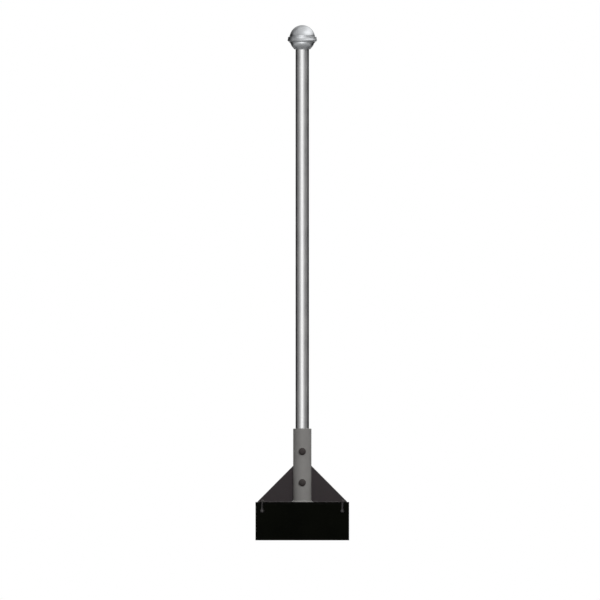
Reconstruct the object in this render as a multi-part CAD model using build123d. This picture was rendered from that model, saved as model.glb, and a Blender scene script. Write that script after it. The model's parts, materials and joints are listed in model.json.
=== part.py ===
from build123d import *
import math
import os

# A flagpole on its own footing: a steel tube with a two-part ball finial stands in a socket sleeve, the
# sleeve and its two gussets are welded to a base plate, and T-headed anchors hold the plate to a block.
# Millimetres, +Z up, origin at the middle of the block's underside, front of the flagpole towards -Y.

# Footing block
block_width = 589.0
block_depth = 589.0
block_height = 229.0
corner_chamfer = 5.0

# Base plate, as wide and deep as the block
plate_thickness = 12.0

# Whole flagpole, from the top of the base plate to the top of the finial
flagpole_height = 3000.0

# Pole tube
pole_diameter = 85.0
pole_wall = 3.0

# Socket sleeve
sleeve_height = 462.0
sleeve_wall = 14.2
sleeve_clearance = 0.8
sleeve_rim_chamfer = 2.0

# Gussets, one on each side of the sleeve
gusset_height = 228.0
gusset_thickness = 10.0
gusset_edge_margin = 14.0
gusset_nose = 4.0

# Fillet welds
foot_weld_leg = 8.0
gusset_weld_leg = 6.0
weld_bulge = 0.8
weld_gap = 0.1
weld_end_margin = 6.0

# Cross bolts through the sleeve and the pole
upper_bolt_height = 318.0
lower_bolt_height = 122.0
bolt_diameter = 20.0
bolt_hole_clearance = 0.5
bolt_head_diameter = 45.0
bolt_head_height = 11.0
bolt_head_edge = 2.0
bolt_nut_width = 30.0
bolt_nut_height = 16.0
bolt_end_projection = 5.0

# Saddle washers, hollowed to sit on the round sleeve
saddle_thickness = 2.5
saddle_seat_gap = 0.1

# Anchors, their washers and nuts
anchor_side_distance = 42.0
anchor_face_distance = 26.0
anchor_diameter = 16.0
anchor_thread_depth = 18.0
anchor_shank_diameter = 14.5
anchor_shank_depth = 39.0
anchor_head_diameter = 31.0
anchor_shoulder_height = 18.0
anchor_nose_height = 13.0
anchor_slot_clearance = 0.5
anchor_head_clearance = 0.25
anchor_washer_diameter = 30.0
anchor_washer_thickness = 3.0
anchor_nut_width = 24.0
anchor_nut_height = 8.0
anchor_end_projection = 3.0

# Shared by all bolts, nuts and washers
thread_clearance = 0.15
washer_clearance = 0.5
end_chamfer = 1.5
nut_chamfer_angle = 30.0

# Ball finial: its two halves, the neck in the lower one's mouth, and the web between them
ball_radius = 79.5
ball_wall = 3.0
mouth_clearance = 0.1
neck_top_width = 14.4
neck_foot_width = 7.4
neck_height = 8.4
neck_edge = 1.5
stem_diameter = 34.0
ring_web_thickness = 9.0

# Ring round the finial: a band whose face slopes out to a drip edge, and a lip over each half's rim
lip_height = 46.0
lip_thickness = 1.2
rebate_clearance = 0.2
band_height = 29.0
band_projection = 10.5
band_upright = 8.0
drip_projection = 13.8
drip_rise = 7.0
underside_inset = 5.3
underside_fall = 2.5
band_edge = 2.5
band_fillet = 1.5

# Spigot that plugs the pole and carries the finial
spigot_depth = 60.0
spigot_clearance = 0.15
spigot_collar = 8.0
stud_diameter = 16.0
stud_length = 38.0
stud_hole_margin = 3.0

# Heights that follow from the dimensions above
plate_top = block_height + plate_thickness
finial_top = plate_top + flagpole_height
upper_rim = finial_top - ball_radius
lower_rim = upper_rim - ring_web_thickness
pole_top = lower_rim - spigot_collar
bolt_levels = {"upper": plate_top + upper_bolt_height, "lower": plate_top + lower_bolt_height}

# Radii and reaches that follow from them
pole_radius = pole_diameter / 2
pole_bore_radius = pole_radius - pole_wall
sleeve_bore_radius = pole_radius + sleeve_clearance
sleeve_radius = sleeve_bore_radius + sleeve_wall
saddle_face = sleeve_radius + saddle_thickness
gusset_tip = block_width / 2 - gusset_edge_margin
rebate_radius = ball_radius + rebate_clearance

# Anchor places, each with its X and the side that its slot opens to: -1 the front, 1 the back
anchor_x = block_width / 2 - anchor_side_distance
anchor_y = block_depth / 2 - anchor_face_distance
anchor_places = {
    "front_left": (-anchor_x, -1),
    "front_right": (anchor_x, -1),
    "back_left": (-anchor_x, 1),
    "back_right": (anchor_x, 1),
}


# Shared shapes


def slab(low, high):
    """A slab on the Z axis between two heights, as wide and deep as the block, its corners chamfered."""
    body = Pos(0, 0, (low + high) / 2) * Box(block_width, block_depth, high - low)
    return chamfer(body.edges().filter_by(Axis.Z), corner_chamfer)


def drum(radius, low, high):
    """An upright cylinder on the Z axis between two heights."""
    return Pos(0, 0, low) * extrude(Circle(radius), high - low)


def strip(near, far, low, high):
    """An upright rectangle of a half section, between two radii and two heights."""
    return Pos((near + far) / 2, (low + high) / 2) * Rectangle(far - near, high - low)


def turned(half_section):
    """The solid that a half section, drawn as radius and height, sweeps round the Z axis."""
    return revolve(Plane.XZ * half_section, axis=Axis.Z)


def threaded_end(radius, low, high):
    """An upright rod with a chamfered top end."""
    rod = drum(radius, low, high)
    return chamfer(rod.edges().group_by(Axis.Z)[-1], end_chamfer)


def hex_nut(width, height, hole_radius):
    """A hexagon nut standing on Z = 0, its corners turned down at both ends."""
    flat = width / 2
    corner = flat / math.cos(math.radians(30))
    turn_down = (corner - flat) * math.tan(math.radians(nut_chamfer_angle))
    outline = Polyline(
        (0, 0),
        (flat, 0),
        (corner, turn_down),
        (corner, height - turn_down),
        (flat, height),
        (0, height),
        close=True,
    )
    prism = extrude(RegularPolygon(corner, 6), height)
    return (prism & turned(make_face(outline))) - drum(hole_radius, 0, height)


def weld_section(leg):
    """A fillet weld's section: two legs along the axes and a gently bulged face between their ends."""
    middle = leg / 2 + weld_bulge / math.sqrt(2)
    bulged_face = ThreePointArc((leg, 0), (middle, middle), (0, leg))
    return make_face(Line((0, 0), (leg, 0)) + bulged_face + Line((0, leg), (0, 0)))


def facing_back(shape):
    """Lays a shape drawn along +Z level, so that it points to the back, along +Y."""
    return Rot(-90, 0, 0) * shape


# Footing, base plate and anchors


def anchor_head_section(gap):
    """Half section of an anchor's conical shoulder and domed nose, grown all round by a gap."""
    neck = anchor_shank_diameter / 2 + gap
    widest = anchor_head_diameter / 2 + gap
    shoulder_top = plate_top - anchor_shank_depth + gap
    shoulder_foot = plate_top - anchor_shank_depth - anchor_shoulder_height
    nose = anchor_nose_height + gap
    shoulder = Polyline((0, shoulder_foot), (0, shoulder_top), (neck, shoulder_top), (widest, shoulder_foot))
    dome = Pos(0, shoulder_foot) * Ellipse(widest, nose)
    lower_quarter = strip(0, widest, shoulder_foot - nose, shoulder_foot)
    return make_face(shoulder + Line((widest, shoulder_foot), (0, shoulder_foot))) + (dome & lower_quarter)


def anchor_slot():
    """The T-slot of one anchor that stands on the Z axis and slides in from the front, along +Y."""
    run = 2 * anchor_face_distance
    neck_radius = anchor_diameter / 2 + anchor_slot_clearance
    low = plate_top - anchor_shank_depth
    high = plate_top + plate_thickness
    neck = drum(neck_radius, low, high)
    neck += Pos(0, -run / 2, (low + high) / 2) * Box(2 * neck_radius, run, high - low)
    half = anchor_head_section(anchor_head_clearance)
    pocket = turned(half) + extrude(Plane.XZ * (half + mirror(half, Plane.YZ)), run)
    return neck + pocket


def with_anchor_slots(body):
    """The body with its four anchor slots cut, two open to the front and two to the back."""
    slot = anchor_slot()
    for x, side in anchor_places.values():
        body -= Pos(x, side * anchor_y, 0) * Rot(0, 0, 90 + 90 * side) * slot
    return body


def footing_block():
    return with_anchor_slots(slab(0, block_height))


def base_plate():
    return with_anchor_slots(slab(block_height, plate_top))


def anchor():
    """One anchor: domed nose and conical shoulder, reduced shank, and a threaded end above the plate."""
    thread_low = plate_top - anchor_thread_depth
    thread_high = plate_top + anchor_washer_thickness + anchor_nut_height + anchor_end_projection
    shank = drum(anchor_shank_diameter / 2, plate_top - anchor_shank_depth, thread_low)
    return turned(anchor_head_section(0)) + shank + threaded_end(anchor_diameter / 2, thread_low, thread_high)


def anchor_washer():
    hole_radius = anchor_diameter / 2 + washer_clearance
    high = plate_top + anchor_washer_thickness
    return drum(anchor_washer_diameter / 2, plate_top, high) - drum(hole_radius, plate_top, high)


def anchor_nut():
    nut = hex_nut(anchor_nut_width, anchor_nut_height, anchor_diameter / 2 + thread_clearance)
    return Pos(0, 0, plate_top + anchor_washer_thickness) * nut


# Sleeve, gussets and welds


def bolt_holes():
    """The level holes that the two cross bolts pass through."""
    hole = facing_back(drum(bolt_diameter / 2 + bolt_hole_clearance, -saddle_face, saddle_face))
    return [Pos(0, 0, level) * hole for level in bolt_levels.values()]


def sleeve():
    high = plate_top + sleeve_height
    outside = drum(sleeve_radius, plate_top, high)
    outside = chamfer(outside.edges().group_by(Axis.Z)[-1], sleeve_rim_chamfer)
    return outside - drum(sleeve_bore_radius, plate_top, high) - bolt_holes()


# The foot weld runs on under each gusset, through a corner that is cut back by this much
gusset_cope = foot_weld_leg + 2 * weld_gap + math.sqrt(2) * weld_bulge


def gusset():
    """The right gusset: a triangular plate with a blunt tip and a coped inner corner."""
    inside = sleeve_radius - gusset_thickness
    outline = Polyline(
        (inside, gusset_cope),
        (sleeve_radius, gusset_cope),
        (sleeve_radius + gusset_cope, 0),
        (gusset_tip, 0),
        (gusset_tip, gusset_nose),
        (sleeve_radius + weld_gap, gusset_height),
        (inside, gusset_height),
        close=True,
    )
    plate = extrude(Plane.XZ * make_face(outline), gusset_thickness / 2, both=True)
    return Pos(0, 0, plate_top) * (plate - drum(sleeve_radius + weld_gap, 0, gusset_height))


def sleeve_foot_weld():
    """The weld bead round the foot of the sleeve."""
    return turned(Pos(sleeve_radius + weld_gap, plate_top) * weld_section(foot_weld_leg))


def gusset_welds():
    """The right gusset's four beads: up the sleeve and along the plate, on the front and on the back."""
    face = gusset_thickness / 2 + weld_gap
    section = weld_section(gusset_weld_leg)
    backing = Pos(-gusset_weld_leg / 4, gusset_weld_leg / 2) * Rectangle(gusset_weld_leg / 2, gusset_weld_leg)
    root = math.sqrt(sleeve_radius**2 - face**2)
    rise = gusset_height - gusset_cope - weld_end_margin
    upright = Pos(root, face, gusset_cope) * extrude(section + backing, rise)
    upright -= drum(sleeve_radius + weld_gap, 0, gusset_height)
    start = sleeve_radius + gusset_cope
    level = Pos(start, face, 0) * extrude(Plane.YZ * section, gusset_tip - weld_end_margin - start)
    back_pair = Pos(0, 0, plate_top) * Part(children=[upright, level])
    return Part(children=[back_pair, mirror(back_pair, Plane.XZ)])


# Cross bolts


def cross_bolt():
    """A cup-headed bolt laid from the front to the back at height zero, its head on the front saddle."""
    head_radius = bolt_head_diameter / 2
    dome_height = bolt_head_height - bolt_head_edge
    dome_radius = (head_radius**2 + dome_height**2) / (2 * dome_height)
    seat = -saddle_face
    head = drum(head_radius, seat - bolt_head_height, seat)
    head &= Pos(0, 0, seat - bolt_head_height + dome_radius) * Sphere(dome_radius)
    end = saddle_face + bolt_nut_height + bolt_end_projection
    return facing_back(head + threaded_end(bolt_diameter / 2, seat, end))


def back_saddle_washer():
    """A washer with a flat outer face and a hollow inner face that fits the sleeve, at height zero."""
    disc = facing_back(drum(bolt_head_diameter / 2, 0, saddle_face))
    hole = facing_back(drum(bolt_diameter / 2 + washer_clearance, 0, saddle_face))
    seat = drum(sleeve_radius + saddle_seat_gap, -bolt_head_diameter, bolt_head_diameter)
    return disc - seat - hole


def cross_nut():
    nut = hex_nut(bolt_nut_width, bolt_nut_height, bolt_diameter / 2 + thread_clearance)
    return Pos(0, saddle_face, 0) * facing_back(nut)


# Pole and finial


def pole_tube():
    return drum(pole_radius, plate_top, pole_top) - drum(pole_bore_radius, plate_top, pole_top) - bolt_holes()


def shell_section(rim):
    """Section of the ball's spun wall, centred on the axis at the height of a rim."""
    return Pos(0, rim) * (Circle(ball_radius) - Circle(ball_radius - ball_wall))


def finial_spigot():
    """A plug in the top of the pole, its collar on the pole's rim, and a stud up through the finial."""
    plug = drum(pole_bore_radius - spigot_clearance, pole_top - spigot_depth, pole_top)
    collar = drum(pole_radius, pole_top, lower_rim)
    return plug + collar + threaded_end(stud_diameter / 2, lower_rim, lower_rim + stud_length)


def finial_lower_half():
    """The lower half of the ball, with a tapered neck in its mouth that is tight round the pole."""
    mouth_radius = pole_radius + mouth_clearance
    neck_radius = mouth_radius + neck_top_width
    foot_radius = mouth_radius + neck_foot_width
    neck_top = lower_rim - math.sqrt(ball_radius**2 - neck_radius**2)
    neck_foot = neck_top - neck_height
    outline = Polyline(
        (mouth_radius, neck_top),
        (neck_radius, neck_top),
        (foot_radius, neck_foot),
        (mouth_radius, neck_foot),
        close=True,
    )
    neck = make_face(outline)
    lower_corner = neck.vertices().sort_by(Axis.Y)[:2].sort_by(Axis.X)[-1]
    shell = shell_section(lower_rim) & strip(mouth_radius, ball_radius, neck_foot, lower_rim)
    return turned(shell + fillet(lower_corner, neck_edge))


def ring_band():
    """Section of the ring's band about its middle: upright at the top, then sloping out to a drip edge."""
    half = band_height / 2
    drip_radius = ball_radius + drip_projection
    band_radius = ball_radius + band_projection
    outline = Polyline(
        (rebate_radius, half),
        (band_radius, half),
        (band_radius, half - band_upright),
        (drip_radius, drip_rise - half),
        (drip_radius - underside_inset, -half),
        (rebate_radius, -half - underside_fall),
        close=True,
    )
    band = make_face(outline)
    return fillet(band.vertices().sort_by(Axis.X)[2:], band_edge)


def finial_ring():
    """The ring between the halves: its band, a lip over each half's rim, and a web held between them."""
    lip_radius = rebate_radius + lip_thickness
    outside = strip(rebate_radius, lip_radius, -lip_height / 2, lip_height / 2) + ring_band()
    near_lip = (lip_radius - lip_thickness / 2, lip_radius + lip_thickness / 2)
    lip_corners = outside.vertices().filter_by_position(Axis.X, *near_lip)
    inner_corners = lip_corners.sort_by(lambda corner: abs(corner.Y))[:2]
    outside = fillet(inner_corners, band_fillet)
    web = strip(stud_diameter / 2 + washer_clearance, rebate_radius, 0, ring_web_thickness)
    return turned(Pos(0, lower_rim) * (outside + web))


def finial_upper_half():
    """The upper half of the ball, with a stem inside that screws onto the spigot's stud."""
    above_rim = strip(0, ball_radius, upper_rim, finial_top)
    stem = strip(0, stem_diameter / 2, upper_rim, finial_top - ball_wall / 2)
    stud_hole = drum(
        stud_diameter / 2 + thread_clearance, upper_rim, lower_rim + stud_length + stud_hole_margin
    )
    half_section = (shell_section(upper_rim) + stem) & above_rim & (Pos(0, upper_rim) * Circle(ball_radius))
    return turned(half_section) - stud_hole


# The assembly: one STEP file for each piece

pieces = {
    "footing_block": footing_block(),
    "base_plate": base_plate(),
    "sleeve": sleeve(),
    "sleeve_foot_weld": sleeve_foot_weld(),
    "right_gusset": gusset(),
    "left_gusset": mirror(gusset(), Plane.YZ),
    "right_gusset_welds": gusset_welds(),
    "left_gusset_welds": mirror(gusset_welds(), Plane.YZ),
    "pole_tube": pole_tube(),
    "finial_spigot": finial_spigot(),
    "finial_lower_half": finial_lower_half(),
    "finial_ring": finial_ring(),
    "finial_upper_half": finial_upper_half(),
}

for name, level in bolt_levels.items():
    pieces[f"{name}_bolt"] = Pos(0, 0, level) * cross_bolt()
    pieces[f"{name}_nut"] = Pos(0, 0, level) * cross_nut()
    pieces[f"{name}_back_saddle"] = Pos(0, 0, level) * back_saddle_washer()
    pieces[f"{name}_front_saddle"] = Pos(0, 0, level) * mirror(back_saddle_washer(), Plane.XZ)

for name, (x, side) in anchor_places.items():
    place = Pos(x, side * anchor_y, 0)
    pieces[f"{name}_anchor"] = place * anchor()
    pieces[f"{name}_anchor_washer"] = place * anchor_washer()
    pieces[f"{name}_anchor_nut"] = place * anchor_nut()

os.makedirs("parts", exist_ok=True)
for name, piece in pieces.items():
    export_step(piece, f"parts/{name}.step")
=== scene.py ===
import json
import math

import bmesh
import bpy
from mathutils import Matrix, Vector


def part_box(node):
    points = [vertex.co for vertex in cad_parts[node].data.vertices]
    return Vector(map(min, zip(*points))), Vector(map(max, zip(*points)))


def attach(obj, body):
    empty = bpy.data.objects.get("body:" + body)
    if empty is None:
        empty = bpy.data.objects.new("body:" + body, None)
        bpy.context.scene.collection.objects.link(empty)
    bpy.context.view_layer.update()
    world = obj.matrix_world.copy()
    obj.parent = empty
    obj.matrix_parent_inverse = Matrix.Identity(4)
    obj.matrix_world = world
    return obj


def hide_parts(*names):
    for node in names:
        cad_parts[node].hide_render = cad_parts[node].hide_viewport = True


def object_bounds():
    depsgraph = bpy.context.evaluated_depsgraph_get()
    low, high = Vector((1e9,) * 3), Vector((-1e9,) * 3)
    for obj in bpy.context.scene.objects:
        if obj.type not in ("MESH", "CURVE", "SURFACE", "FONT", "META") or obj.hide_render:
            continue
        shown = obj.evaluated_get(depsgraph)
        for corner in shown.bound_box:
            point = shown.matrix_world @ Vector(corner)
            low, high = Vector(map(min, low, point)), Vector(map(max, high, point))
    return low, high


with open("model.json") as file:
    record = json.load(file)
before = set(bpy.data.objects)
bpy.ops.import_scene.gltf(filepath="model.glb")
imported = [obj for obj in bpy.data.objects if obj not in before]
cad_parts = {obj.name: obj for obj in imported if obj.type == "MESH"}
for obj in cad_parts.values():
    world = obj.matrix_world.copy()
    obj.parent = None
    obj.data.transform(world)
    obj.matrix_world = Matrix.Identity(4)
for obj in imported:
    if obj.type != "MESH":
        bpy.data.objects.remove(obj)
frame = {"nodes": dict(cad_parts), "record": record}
cad_low, cad_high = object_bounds()

MM = 0.001
FULL_TURN = 2 * math.pi
WHITE = (1.0, 1.0, 1.0, 1.0)

# The photograph: a straight front view, 600 pixels each way
PICTURE_PIXELS = 600
FINIAL_TOP_ROW = 25.1
UNDERSIDE_ROW = 540.32
POLE_CENTRE_COLUMN = 302.3


# Camera

CAMERA_DISTANCE = 12
VIEW_DEPTH = 100


def add_camera():
    """A level orthographic camera that frames the flagpole as the photograph does."""
    metres_per_pixel = cad_high.z / (UNDERSIDE_ROW - FINIAL_TOP_ROW)
    data = bpy.data.cameras.new("camera")
    data.type = "ORTHO"
    data.ortho_scale = PICTURE_PIXELS * metres_per_pixel
    data.clip_end = VIEW_DEPTH
    camera = bpy.data.objects.new("camera", data)
    across = (PICTURE_PIXELS / 2 - POLE_CENTRE_COLUMN) * metres_per_pixel
    height = (UNDERSIDE_ROW - PICTURE_PIXELS / 2) * metres_per_pixel
    camera.location = (across, -CAMERA_DISTANCE, height)
    camera.rotation_euler = (math.radians(90), 0, 0)
    bpy.context.scene.collection.objects.link(camera)
    bpy.context.scene.camera = camera


# Node trees


def new_tree(owner):
    owner.use_nodes = True
    owner.node_tree.nodes.clear()
    return owner.node_tree


def add_node(tree, kind, inputs=None, **settings):
    """A node with its settings, and its inputs set by name or index to a value or a linked socket."""
    node = tree.nodes.new(kind)
    for key, value in settings.items():
        setattr(node, key, value)
    for key, value in (inputs or {}).items():
        if isinstance(value, bpy.types.NodeSocket):
            tree.links.new(value, node.inputs[key])
        else:
            node.inputs[key].default_value = value
    return node


def maths(tree, operation, first, second=0.0):
    return add_node(tree, "ShaderNodeMath", {0: first, 1: second}, operation=operation).outputs[0]


# Most of a noise's values lie between these
NOISE_LOW = 0.35
NOISE_HIGH = 0.65


def between(tree, value, low, high, start=NOISE_LOW, end=NOISE_HIGH, **settings):
    """Spreads a value's range from start to end over the range from low to high."""
    inputs = {"Value": value, 1: start, 2: end, 3: low, 4: high}
    return add_node(tree, "ShaderNodeMapRange", inputs, **settings).outputs[0]


def fade(tree, value, dark, light):
    """A smooth step from 0 at the first value to 1 at the second."""
    return between(tree, value, 0.0, 1.0, dark, light, interpolation_type="SMOOTHSTEP")


# Studio

# What metal sees: a white surround, with soft boxes that add to its level and dark cards that take from it.
# Each has its azimuths and elevations in degrees and its level.
# Azimuth 0 is the camera's side and 90 the right.
SOFT_BOXES = {
    "front": ((-20, 10), (-30, 20), 1.5),
    "low_front": ((-30, 30), (-30, -20), 1.5),
    "high_right": ((20, 160), (20, 60), 1.0),
}
DARK_CARDS = {
    "left": ((-160, -50), (-30, 20), 0.7),
    "high_left": ((-150, -40), (20, 60), 0.3),
    "above_front": ((-50, 60), (10, 30), 0.5),
    "right": ((40, 150), (-30, 10), 0.8),
    "behind": ((100, 260), (-60, 60), 0.4),
    "below": ((-180, 180), (-120, -40), 0.6),
}

# How far a panel's edges fade to each side, across its azimuths and across its elevations
AZIMUTH_FADE = 20
ELEVATION_FADE = 10

# Even light on matt surfaces, by the elevation that it comes from, and the elevations where it changes
AMBIENT_BELOW = 0.15
AMBIENT_SIDES = 1.15
AMBIENT_ABOVE = 0.75
BELOW_TO_SIDES = (-5, 5)
SIDES_TO_ABOVE = (25, 60)

FLOOR_HALF = 30
FLOOR_GREY = (0.8, 0.8, 0.8, 1)
FLOOR_LIFT = 0.25


def wrapped(tree, angle):
    """An angle in degrees, turned to lie between -180 and 180."""
    return add_node(tree, "ShaderNodeMath", {0: angle, 1: 180, 2: -180}, operation="WRAP").outputs[0]


def panel_level(tree, azimuth, elevation, azimuths, elevations, level):
    """A panel's level in one direction: full inside it, 0 outside it."""
    low, high = elevations
    rise = fade(tree, elevation, low - ELEVATION_FADE, low + ELEVATION_FADE)
    fall = fade(tree, elevation, high + ELEVATION_FADE, high - ELEVATION_FADE)
    inside = maths(tree, "MULTIPLY", rise, fall)
    middle = (azimuths[0] + azimuths[1]) / 2
    half = (azimuths[1] - azimuths[0]) / 2
    if half < 180:
        offset = maths(tree, "ABSOLUTE", wrapped(tree, maths(tree, "SUBTRACT", azimuth, middle)))
        side = fade(tree, offset, half + AZIMUTH_FADE, half - AZIMUTH_FADE)
        inside = maths(tree, "MULTIPLY", inside, side)
    return maths(tree, "MULTIPLY", inside, level)


def build_world():
    """A white background, with the boxes and cards in reflections, and even light on matt surfaces."""
    world = bpy.data.worlds.new("studio")
    bpy.context.scene.world = world
    tree = new_tree(world)
    world.cycles.sampling_method = "NONE"
    direction = add_node(tree, "ShaderNodeTexCoord").outputs["Generated"]
    axes = add_node(tree, "ShaderNodeSeparateXYZ", {0: direction}).outputs
    turn = maths(tree, "ARCTAN2", axes["X"], maths(tree, "MULTIPLY", axes["Y"], -1))
    azimuth = maths(tree, "DEGREES", turn)
    elevation = maths(tree, "DEGREES", maths(tree, "ARCSINE", axes["Z"]))
    studio = 1.0
    for operation, panels in (("ADD", SOFT_BOXES), ("SUBTRACT", DARK_CARDS)):
        for panel in panels.values():
            studio = maths(tree, operation, studio, panel_level(tree, azimuth, elevation, *panel))
    studio = maths(tree, "MAXIMUM", studio, 0.0)
    sides = maths(tree, "MULTIPLY", fade(tree, elevation, *BELOW_TO_SIDES), AMBIENT_SIDES - AMBIENT_BELOW)
    above = maths(tree, "MULTIPLY", fade(tree, elevation, *SIDES_TO_ABOVE), AMBIENT_ABOVE - AMBIENT_SIDES)
    ambient = maths(tree, "ADD", maths(tree, "ADD", sides, above), AMBIENT_BELOW)
    light_path = add_node(tree, "ShaderNodeLightPath").outputs
    glossy = light_path["Is Glossy Ray"]
    level = add_node(tree, "ShaderNodeMix", {0: glossy, 2: ambient, 3: studio}).outputs[0]
    seen = maths(tree, "MAXIMUM", light_path["Is Camera Ray"], light_path["Is Transmission Ray"])
    level = add_node(tree, "ShaderNodeMix", {0: seen, 2: level, 3: 1.0}).outputs[0]
    background = add_node(tree, "ShaderNodeBackground", {"Color": WHITE, "Strength": level})
    add_node(tree, "ShaderNodeOutputWorld", {"Surface": background.outputs[0]})


def add_sun(name, azimuth, elevation, irradiance, softness):
    """A distant soft lamp for matt surfaces and shadows. The softness is its width in degrees."""
    data = bpy.data.lights.new(name, "SUN")
    data.energy = irradiance
    data.angle = math.radians(softness)
    lamp = bpy.data.objects.new(name, data)
    turn, tilt = math.radians(azimuth), math.radians(elevation)
    ahead = math.cos(tilt)
    towards = Vector((math.sin(turn) * ahead, -math.cos(turn) * ahead, math.sin(tilt)))
    lamp.rotation_mode = "QUATERNION"
    lamp.rotation_quaternion = towards.to_track_quat("Z", "Y")
    lamp.visible_glossy = False
    bpy.context.scene.collection.objects.link(lamp)


def add_floor():
    """A wide pale floor, lifted to white for the camera but for the object's shadow."""
    mesh = bpy.data.meshes.new("floor")
    corners = [(x * FLOOR_HALF, y * FLOOR_HALF, 0) for x, y in ((-1, -1), (1, -1), (1, 1), (-1, 1))]
    mesh.from_pydata(corners, [], [(0, 1, 2, 3)])
    floor = bpy.data.objects.new("floor", mesh)
    floor.visible_glossy = False
    floor.visible_diffuse = False
    bpy.context.scene.collection.objects.link(floor)
    material = bpy.data.materials.new("pale_floor")
    tree = new_tree(material)
    diffuse = add_node(tree, "ShaderNodeBsdfDiffuse", {"Color": FLOOR_GREY})
    light_path = add_node(tree, "ShaderNodeLightPath").outputs
    seen = maths(tree, "MAXIMUM", light_path["Is Camera Ray"], light_path["Is Transmission Ray"])
    strength = maths(tree, "MULTIPLY", seen, FLOOR_LIFT)
    lift = add_node(tree, "ShaderNodeEmission", {"Color": WHITE, "Strength": strength})
    total = add_node(tree, "ShaderNodeAddShader", {0: diffuse.outputs[0], 1: lift.outputs[0]})
    add_node(tree, "ShaderNodeOutputMaterial", {"Surface": total.outputs[0]})
    mesh.materials.append(material)


add_camera()
build_world()
add_sun("key", azimuth=23, elevation=30, irradiance=2.0, softness=25)
add_sun("back_fill", azimuth=200, elevation=40, irradiance=0.85, softness=40)
add_floor()


# Colours, as linear values: the lighter and the darker tone of a finish, or one tone

DRAWN_STEEL = ((0.52, 0.52, 0.52), (0.48, 0.48, 0.483))
SPUN_STEEL = ((0.507, 0.52, 0.533), (0.468, 0.48, 0.493))
SLEEVE_GREY = ((0.158, 0.154, 0.148), (0.143, 0.139, 0.134))
GUSSET_BROWN = ((0.0292, 0.0246, 0.0260), (0.0250, 0.0211, 0.0223))
BOLT_BROWN = ((0.0314, 0.0265, 0.0257), (0.0260, 0.0223, 0.0213))
ANCHOR_GREY = ((0.066, 0.062, 0.062), (0.054, 0.051, 0.051))
PLATE_BLACK = ((0.0022, 0.0024, 0.0018), (0.0014, 0.0015, 0.0012))
CONCRETE_BLACK = ((0.0021, 0.0024, 0.0015), (0.0011, 0.0013, 0.0008))
CONCRETE_SAND = (0.0023, 0.0025, 0.0018)
# Paler grains; the same colour lightens the block's edges, as wear and as a painted highlight
CONCRETE_GRAIN_AND_EDGE_HIGHLIGHT = (0.0075, 0.0075, 0.007)
# Painted shade inside the concrete's air holes
CONCRETE_HOLE_SHADE = (0.0004, 0.0004, 0.0003)
# Colours of the paints' edges: bare metal showing through, and lighter to paint a highlight on the edges
SLEEVE_BARE_AND_HIGHLIGHT = (0.3, 0.295, 0.29)
STEEL_BARE_AND_HIGHLIGHT = (0.11, 0.107, 0.105)
PLATE_BARE_AND_HIGHLIGHT = (0.012, 0.012, 0.0115)


# Materials. A noise's scale is in features per metre, and a change of roughness goes either way.

METAL_CLOUDS = 9.0
METAL_SPECKS = 700.0
SMUDGE_ROUGHNESS = 0.025
LINE_ROUGHNESS = 0.05
LINE_DEPTH = 0.03 * MM
SPECK_DEPTH = 0.01 * MM

PAINT_CLOUDS = 14.0
CLOUD_ROUGHNESS = 0.05
PEEL_ROUGHNESS = 0.04
PEEL_DEPTH = 0.1 * MM
PAINT_THICKNESS = 0.1 * MM
WORN_GLOSS = 0.2

# Wear and painted edge highlight: the dot product of a bevelled and a flat normal on a sharp edge, the noise
# added to what that gives so that the lighter edges come in patches, and the sums at which they start and are
# full
SHARP_EDGE = 0.75
WEAR_AND_HIGHLIGHT_PATCHES = (-0.75, 0.4)
WEAR_AND_HIGHLIGHT_FADE = (0.45, 0.75)
WEAR_AND_HIGHLIGHT_SCALE = 45.0

CONCRETE_CLOUDS = 5.0
SAND = 420.0
SAND_DEPTH = 0.3 * MM
SAND_ROUGHNESS = (0.8, 0.95)
# Scale, how far a grain is solid and how far it reaches in its cell, and the share of the cells with one
GRAINS = ((150.0, 0.18, 0.30, 0.12), (420.0, 0.204, 0.34, 0.2))
GRAIN_COVER = 0.6
HOLES = 55.0
HOLE_SHARE = 0.25
HOLE_EDGE = (0.05, 0.12)
CHOICE_EDGE = 0.02
HOLE_DEPTH = 2 * MM
# How strongly, how wide and how finely the block's edges are lightened, as wear and as a painted highlight
BLOCK_WEAR_AND_HIGHLIGHT = 0.6
BLOCK_WEAR_AND_HIGHLIGHT_WIDTH = 6 * MM
BLOCK_WEAR_AND_HIGHLIGHT_SCALE = 60.0


def noise(tree, place, scale, detail=3.0, stretch=(1, 1, 1)):
    """Soft noise between 0 and 1, about a half on average; a stretch below 1 draws it out along that axis."""
    stretched = add_node(tree, "ShaderNodeVectorMath", {0: place, 1: stretch}, operation="MULTIPLY")
    inputs = {"Vector": stretched.outputs[0], "Scale": scale, "Detail": detail}
    return add_node(tree, "ShaderNodeTexNoise", inputs).outputs[0]


def blend(tree, factor, first, second):
    """A colour between two, each a linear red, green and blue or a socket."""
    colours = [c if isinstance(c, bpy.types.NodeSocket) else (*c, 1) for c in (first, second)]
    mixer = add_node(tree, "ShaderNodeMix", {0: factor, 6: colours[0], 7: colours[1]}, data_type="RGBA")
    return mixer.outputs[2]


def raised(tree, height, distance, strength=1.0, below=None):
    """A bump of that distance in metres, over another bump if one is given."""
    inputs = {"Height": height, "Distance": distance, "Strength": strength}
    if below:
        inputs["Normal"] = below
    return add_node(tree, "ShaderNodeBump", inputs).outputs[0]


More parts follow.
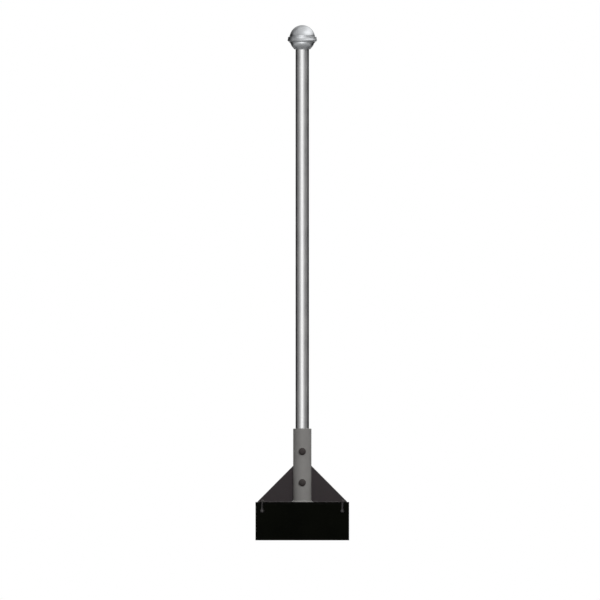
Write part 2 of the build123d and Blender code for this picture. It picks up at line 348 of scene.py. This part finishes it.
def edges_worn_and_highlit(tree, place, radius, scale):
    """1 on sharp edges in ragged patches, 0 on flat faces: wear, lighter also as a painted edge highlight."""
    rounded = add_node(tree, "ShaderNodeBevel", {"Radius": radius}, samples=4).outputs[0]
    flat = add_node(tree, "ShaderNodeNewGeometry").outputs["Normal"]
    compared = add_node(tree, "ShaderNodeVectorMath", {0: rounded, 1: flat}, operation="DOT_PRODUCT")
    edge = between(tree, compared.outputs["Value"], 0.0, 1.0, start=1.0, end=SHARP_EDGE)
    patches = between(tree, noise(tree, place, scale, detail=6.0), *WEAR_AND_HIGHLIGHT_PATCHES)
    return fade(tree, maths(tree, "ADD", edge, patches), *WEAR_AND_HIGHLIGHT_FADE)


def start_material(name):
    material = bpy.data.materials.new(name)
    tree = new_tree(material)
    place = add_node(tree, "ShaderNodeTexCoord").outputs["Object"]
    return material, tree, place


def finish_material(tree, colour, roughness, normal, metallic=0.0, specular=0.5):
    inputs = {
        "Base Color": colour, "Roughness": roughness, "Normal": normal,
        "Metallic": metallic, "Specular IOR Level": specular,
    }
    shader = add_node(tree, "ShaderNodeBsdfPrincipled", inputs)
    add_node(tree, "ShaderNodeOutputMaterial", {"Surface": shader.outputs[0]})


def varied(tree, value, middle, reach):
    """A roughness about its middle value, up to that reach either way."""
    return between(tree, value, middle - reach, middle + reach)


def metal(name, light, dark, roughness, grain):
    """Bare satin metal with fine drawn or turned lines, and faint cloudy handling marks."""
    material, tree, place = start_material(name)
    lines = noise(tree, place, 1.0, stretch=grain)
    clouds = noise(tree, place, METAL_CLOUDS, detail=4.0)
    specks = noise(tree, place, METAL_SPECKS, detail=2.0)
    colour = blend(tree, between(tree, clouds, 0, 1), dark, light)
    smudged = varied(tree, clouds, roughness, SMUDGE_ROUGHNESS)
    rough = maths(tree, "ADD", smudged, varied(tree, lines, 0, LINE_ROUGHNESS))
    skin = raised(tree, specks, SPECK_DEPTH, strength=0.4)
    normal = raised(tree, lines, LINE_DEPTH, strength=0.6, below=skin)
    finish_material(tree, colour, rough, normal, metallic=1.0)
    return material


def paint(name, light, dark, bare_and_highlight, roughness, specular, peel, wear_and_highlight_width=2.5 * MM):
    """Paint with cloudy tone and orange peel; its edges worn to the metal in ragged patches, also a painted
    highlight.
    """
    material, tree, place = start_material(name)
    clouds = noise(tree, place, PAINT_CLOUDS, detail=5.0)
    dimples = noise(tree, place, peel, detail=2.0)
    colour = blend(tree, between(tree, clouds, 0, 1), dark, light)
    wear_and_highlight = edges_worn_and_highlit(tree, place, wear_and_highlight_width, WEAR_AND_HIGHLIGHT_SCALE)
    # The edges take the lighter colour: partly wear, partly a painted highlight standing in for light on
    # rounded edges
    colour = blend(tree, wear_and_highlight, colour, bare_and_highlight)
    cloudy = varied(tree, clouds, roughness, CLOUD_ROUGHNESS)
    rough = maths(tree, "ADD", cloudy, varied(tree, dimples, 0, PEEL_ROUGHNESS))
    rough = maths(tree, "SUBTRACT", rough, maths(tree, "MULTIPLY", wear_and_highlight, WORN_GLOSS))
    skin = raised(tree, dimples, PEEL_DEPTH, strength=0.7)
    normal = raised(tree, wear_and_highlight, PAINT_THICKNESS, strength=-1.0, below=skin)
    finish_material(tree, colour, rough, normal, specular=specular)
    return material


def chosen_cells(tree, place, scale, channel, share):
    """The distance to the nearest point of a random scatter, and 1 in the cells of a share of its points."""
    inputs = {"Vector": place, "Scale": scale, "Randomness": 1.0}
    scatter = add_node(tree, "ShaderNodeTexVoronoi", inputs)
    chance = add_node(tree, "ShaderNodeSeparateColor", {0: scatter.outputs["Color"]}).outputs[channel]
    return scatter.outputs["Distance"], between(tree, chance, 1, 0, share, share + CHOICE_EDGE)


def dark_concrete(name, light, dark):
    """Black pigmented concrete: cloudy paste, fine sand, paler grains of two sizes, air holes with painted
    shade in them, and edges lighter as wear and painted highlight.
    """
    material, tree, place = start_material(name)
    clouds = noise(tree, place, CONCRETE_CLOUDS, detail=8.0)
    sand = noise(tree, place, SAND, detail=6.0)
    colour = blend(tree, between(tree, clouds, 0, 1), dark, light)
    colour = blend(tree, between(tree, sand, 0, 0.5), colour, CONCRETE_SAND)
    for scale, solid, reach, share in GRAINS:
        distance, chosen = chosen_cells(tree, place, scale, 0, share)
        near = between(tree, distance, GRAIN_COVER, 0, solid, reach)
        colour = blend(tree, maths(tree, "MULTIPLY", near, chosen), colour, CONCRETE_GRAIN_AND_EDGE_HIGHLIGHT)
    # Air holes: a bumped pit, with painted shade darkening the colour inside it
    distance, chosen = chosen_cells(tree, place, HOLES, 1, HOLE_SHARE)
    hole_and_shade = maths(tree, "MULTIPLY", between(tree, distance, 1, 0, *HOLE_EDGE), chosen)
    colour = blend(tree, hole_and_shade, colour, CONCRETE_HOLE_SHADE)
    # The block's edges are lightened with the grain colour: partly wear, partly a painted highlight that
    # shows its shape
    wear_and_highlight = edges_worn_and_highlit(tree, place, BLOCK_WEAR_AND_HIGHLIGHT_WIDTH, BLOCK_WEAR_AND_HIGHLIGHT_SCALE)
    colour = blend(tree, maths(tree, "MULTIPLY", wear_and_highlight, BLOCK_WEAR_AND_HIGHLIGHT), colour, CONCRETE_GRAIN_AND_EDGE_HIGHLIGHT)
    pitted = raised(tree, hole_and_shade, HOLE_DEPTH, strength=-1.0)
    normal = raised(tree, sand, SAND_DEPTH, strength=0.8, below=pitted)
    finish_material(tree, colour, between(tree, sand, *SAND_ROUGHNESS), normal, specular=0.012)
    return material


pole_steel = metal("pole_steel", *DRAWN_STEEL, roughness=0.33, grain=(900, 900, 5))
finial_steel = metal("finial_steel", *SPUN_STEEL, roughness=0.33, grain=(8, 8, 1100))
sleeve_paint = paint("sleeve_paint", *SLEEVE_GREY, SLEEVE_BARE_AND_HIGHLIGHT, roughness=0.55, specular=0.35, peel=380)
gusset_paint = paint("gusset_paint", *GUSSET_BROWN, STEEL_BARE_AND_HIGHLIGHT, roughness=0.72, specular=0.15, peel=450)
bolt_paint = paint(
    "bolt_paint", *BOLT_BROWN, STEEL_BARE_AND_HIGHLIGHT, roughness=0.62, specular=0.2, peel=900, wear_and_highlight_width=1.5 * MM
)
anchor_finish = paint(
    "anchor_finish", *ANCHOR_GREY, STEEL_BARE_AND_HIGHLIGHT, roughness=0.6, specular=0.2, peel=1200, wear_and_highlight_width=1 * MM
)
plate_paint = paint(
    "plate_paint", *PLATE_BLACK, PLATE_BARE_AND_HIGHLIGHT, roughness=0.8, specular=0.012, peel=300, wear_and_highlight_width=3 * MM
)
concrete = dark_concrete("dark_concrete", *CONCRETE_BLACK)

FINISH = {
    "footing": concrete,
    "plate": plate_paint,
    "sleeve": sleeve_paint,
    "gusset": gusset_paint,
    "weld": gusset_paint,
    "pole": pole_steel,
    "spigot": pole_steel,
    "finial": finial_steel,
    "bolt": bolt_paint,
    "anchor": anchor_finish,
}
slots = {entry["node"]: entry["material_slot"] for entry in frame["record"]["subparts"]}


def dress(piece, slot):
    piece.data.materials.clear()
    piece.data.materials.append(FINISH[slot])


for node, piece in frame["nodes"].items():
    dress(piece, slots[node])


# Pieces made finer than the CAD solids that they stand for


def middle_of(node):
    low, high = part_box(node)
    return (low + high) / 2


def add_piece(name, vertices, faces, node, smooth_angle=35):
    """A closed mesh that stands for a CAD node and takes its finish."""
    mesh = bpy.data.meshes.new(name)
    mesh.from_pydata(vertices, [], faces)
    mesh.validate()
    shell = bmesh.new()
    shell.from_mesh(mesh)
    bmesh.ops.recalc_face_normals(shell, faces=shell.faces)
    shell.to_mesh(mesh)
    shell.free()
    mesh.polygons.foreach_set("use_smooth", [True] * len(mesh.polygons))
    mesh.set_sharp_from_angle(angle=math.radians(smooth_angle))
    piece = bpy.data.objects.new(name, mesh)
    bpy.context.scene.collection.objects.link(piece)
    dress(piece, slots[node])
    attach(piece, "root")
    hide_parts(node)


def bridged(rings, size, closed=False):
    """Faces that join rings of so many points each, with end caps unless they close on themselves."""
    faces = []
    for ring in range(rings if closed else rings - 1):
        here, beyond = ring * size, (ring + 1) % rings * size
        for step in range(size):
            beside = (step + 1) % size
            faces.append((here + step, here + beside, beyond + beside, beyond + step))
    if not closed:
        faces.append(tuple(reversed(range(size))))
        faces.append(tuple((rings - 1) * size + step for step in range(size)))
    return faces


# Threaded pieces

METRIC_PITCH = {16: 2 * MM, 20: 2.5 * MM}
THREAD_DEPTH_SHARE = 0.55
# Half of a groove's width as a share of the pitch
THREAD_FLANK = 0.38
THREAD_STATIONS_PER_PITCH = 6
THREAD_RUN_IN_PITCHES = 1.5
THREAD_CHAMFER = 1.5 * MM
THREAD_STEP = 0.3 * MM

ANCHOR_NOSE = 13 * MM
ANCHOR_CONE = 18 * MM
ANCHOR_HEAD_RADIUS = 15.5 * MM
ANCHOR_SHANK_RADIUS = 7.25 * MM
ANCHOR_THREAD = 16
ANCHOR_THREAD_BELOW = 18 * MM
ANCHOR_NOSE_STEPS = 10
ANCHOR_SEGMENTS = 40

BOLT_THREAD = 20
BOLT_THREAD_INSIDE = 10 * MM
BOLT_HEAD_HEIGHT = 11 * MM
BOLT_HEAD_EDGE = 2 * MM
BOLT_HEAD_CHAMFER = 0.5 * MM
BOLT_DOME_STEPS = 12
BOLT_SEGMENTS = 48


def turned(stations, pitch, segments):
    """Vertices and faces of a solid of revolution on the Z axis. Each station is a height, a radius and the
    depth of a helical thread groove there."""
    vertices = []
    for height, radius, depth in stations:
        for step in range(segments):
            phase = (height / pitch - step / segments) % 1
            reach = radius - depth * max(0.0, 1 - abs(phase - 0.5) / THREAD_FLANK)
            turn = FULL_TURN * step / segments
            vertices.append((reach * math.cos(turn), reach * math.sin(turn), height))
    return vertices, bridged(len(stations), segments)


def thread_stations(low, high, radius, pitch):
    """Stations of a thread that runs in at its low end and is chamfered at its high end."""
    count = math.ceil((high - low) / pitch * THREAD_STATIONS_PER_PITCH)
    depth = THREAD_DEPTH_SHARE * pitch
    stations = []
    for index in range(count + 1):
        height = low + (high - low) * index / count
        run_in = min(1.0, (height - low) / (THREAD_RUN_IN_PITCHES * pitch))
        outside = min(radius, radius - THREAD_CHAMFER + (high - height))
        groove = max(0.0, outside - (radius - depth * run_in))
        stations.append((height, outside, min(depth * run_in, groove)))
    return stations


def add_anchor(node):
    """An anchor, from its domed nose up: nose, cone, shank, then thread to the top."""
    (low, high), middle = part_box(node), middle_of(node)
    stations = []
    for index in range(1, ANCHOR_NOSE_STEPS + 1):
        lift = math.radians(90 * index / ANCHOR_NOSE_STEPS)
        rise, reach = ANCHOR_NOSE * (1 - math.cos(lift)), ANCHOR_HEAD_RADIUS * math.sin(lift)
        stations.append((low.z + rise, reach, 0.0))
    stations.append((low.z + ANCHOR_NOSE + ANCHOR_CONE, ANCHOR_SHANK_RADIUS, 0.0))
    thread_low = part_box("base_plate")[1].z - ANCHOR_THREAD_BELOW
    stations.append((thread_low - THREAD_STEP, ANCHOR_SHANK_RADIUS, 0.0))
    pitch = METRIC_PITCH[ANCHOR_THREAD]
    stations += thread_stations(thread_low, high.z, ANCHOR_THREAD / 2 * MM, pitch)
    vertices, faces = turned(stations, pitch, ANCHOR_SEGMENTS)
    add_piece("threaded_" + node, [(x + middle.x, y + middle.y, z) for x, y, z in vertices], faces, node)


def add_cross_bolt(node):
    """A cup-headed bolt laid along Y: domed head, plain shank, and a thread that passes the nut."""
    (low, high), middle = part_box(node), middle_of(node)
    head_radius = (high.x - low.x) / 2
    radius = BOLT_THREAD / 2 * MM
    seat = low.y + BOLT_HEAD_HEIGHT
    dome_height = BOLT_HEAD_HEIGHT - BOLT_HEAD_EDGE
    dome_radius = (head_radius**2 + dome_height**2) / (2 * dome_height)
    sweep = math.asin(head_radius / dome_radius)
    stations = []
    for index in range(1, BOLT_DOME_STEPS + 1):
        turn = sweep * index / BOLT_DOME_STEPS
        stations.append((low.y + dome_radius * (1 - math.cos(turn)), dome_radius * math.sin(turn), 0.0))
    stations.append((seat - BOLT_HEAD_CHAMFER, head_radius, 0.0))
    stations.append((seat, head_radius - BOLT_HEAD_CHAMFER, 0.0))
    stations.append((seat, radius, 0.0))
    thread_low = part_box("sleeve")[1].y - BOLT_THREAD_INSIDE
    stations.append((thread_low - THREAD_STEP, radius, 0.0))
    pitch = METRIC_PITCH[BOLT_THREAD]
    stations += thread_stations(thread_low, high.y, radius, pitch)
    vertices, faces = turned(stations, pitch, BOLT_SEGMENTS)
    add_piece("threaded_" + node, [(x, z, middle.z - y) for x, y, z in vertices], faces, node)


for node in [name for name in frame["nodes"] if name.endswith("_anchor")]:
    add_anchor(node)
for node in ("upper_bolt", "lower_bolt"):
    add_cross_bolt(node)


# Weld beads with their ripples

FOOT_LEG = 8 * MM
GUSSET_LEG = 6 * MM
WELD_BULGE = 0.8 * MM
WELD_BITE = 0.15 * MM
WELD_SMOOTH_ANGLE = 60
RIPPLE_DEPTH = 0.4 * MM
RIPPLE_STATIONS = 4
FOOT_RIPPLES = 168
GUSSET_RIPPLE_PITCH = 2.1 * MM
FACE_POINTS = 9
# A gusset bead starts this far past the foot weld, and is drawn in at its ends to a share of its size
CLEAR_OF_FOOT = FOOT_LEG + 1.3 * MM
DRAWN_IN_LEGS = 0.7
DRAWN_IN_SIZE = 0.3


def bead_section(leg, along, pitch, scale, behind):
    """A bead's section at one place along it: its rippled face, then its back, given from the root."""
    points = []
    for index in range(FACE_POINTS):
        share = index / (FACE_POINTS - 1)
        hump = 4 * share * (1 - share)
        ripple = 0.5 - 0.5 * math.cos(FULL_TURN * (along / pitch + 0.5 * hump))
        push = (WELD_BULGE * hump - RIPPLE_DEPTH * ripple * math.sqrt(hump)) / math.sqrt(2)
        points.append((leg * (1 - share) + push, leg * share + push))
    return [(a * scale, b * scale) for a, b in points + behind]


def swept(sections, closed=False):
    """Vertices and faces of sections of equal size, joined in order."""
    faces = bridged(len(sections), len(sections[0]), closed)
    return [point for section in sections for point in section], faces


def add_foot_weld():
    """The bead round the sleeve's foot, closed on itself."""
    low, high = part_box("sleeve")
    root = high.y - WELD_BITE
    pitch = FULL_TURN * root / FOOT_RIPPLES
    steps = FOOT_RIPPLES * RIPPLE_STATIONS
    sections = []
    for step in range(steps):
        turn = FULL_TURN * step / steps
        outline = bead_section(FOOT_LEG, turn * root, pitch, 1.0, [(-WELD_BITE, -WELD_BITE)])
        sections.append([
            ((root + a) * math.cos(turn), (root + a) * math.sin(turn), max(b, 0.0) + low.z)
            for a, b in outline
        ])
    vertices, faces = swept(sections, closed=True)
    add_piece("foot_weld_bead", vertices, faces, "sleeve_foot_weld", WELD_SMOOTH_ANGLE)


def straight_bead(length, behind):
    """Sections of a gusset's bead along one line, each with its distance along it; the ends are drawn in."""
    count = round(length / GUSSET_RIPPLE_PITCH * RIPPLE_STATIONS)
    for step in range(count + 1):
        along = length * step / count
        end = min(1.0, max(0.0, min(along, length - along)) / (DRAWN_IN_LEGS * GUSSET_LEG))
        scale = DRAWN_IN_SIZE + (1 - DRAWN_IN_SIZE) * math.sqrt(1 - (1 - end) ** 2)
        yield along, bead_section(GUSSET_LEG, along, GUSSET_RIPPLE_PITCH, scale, behind)


def add_gusset_welds(side_name, side):
    """The four beads of one gusset: up the sleeve and along the plate, on its front and on its back."""
    sleeve_low, sleeve_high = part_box("sleeve")
    low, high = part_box(side_name + "_gusset_welds")
    radius = sleeve_high.y
    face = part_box(side_name + "_gusset")[1].y - WELD_BITE
    root = math.sqrt(radius**2 - face**2)
    tip = max(abs(low.x), abs(high.x))
    against_sleeve = []
    for across in (GUSSET_LEG, GUSSET_LEG / 2, 0.0):
        against_sleeve.append((math.sqrt(radius**2 - (face + across) ** 2) - root - WELD_BITE, across))
    against_plate = [(-WELD_BITE, 0.0)]
    foot = sleeve_low.z + CLEAR_OF_FOOT
    start = radius + CLEAR_OF_FOOT
    vertices, faces = [], []
    for front in (-1, 1):
        upright = [
            [(side * (root + a), front * (face + b), foot + along) for a, b in outline]
            for along, outline in straight_bead(high.z - foot, against_sleeve)
        ]
        level = [
            [(side * (start + along), front * (face + a), sleeve_low.z + b) for a, b in outline]
            for along, outline in straight_bead(tip - start, against_plate)
        ]
        for sections in (upright, level):
            points, panels = swept(sections)
            faces += [tuple(index + len(vertices) for index in panel) for panel in panels]
            vertices += points
    add_piece(side_name + "_gusset_beads", vertices, faces, side_name + "_gusset_welds", WELD_SMOOTH_ANGLE)


add_foot_weld()
add_gusset_welds("left", -1)
add_gusset_welds("right", 1)


bpy.context.scene.view_settings.view_transform = "Standard"
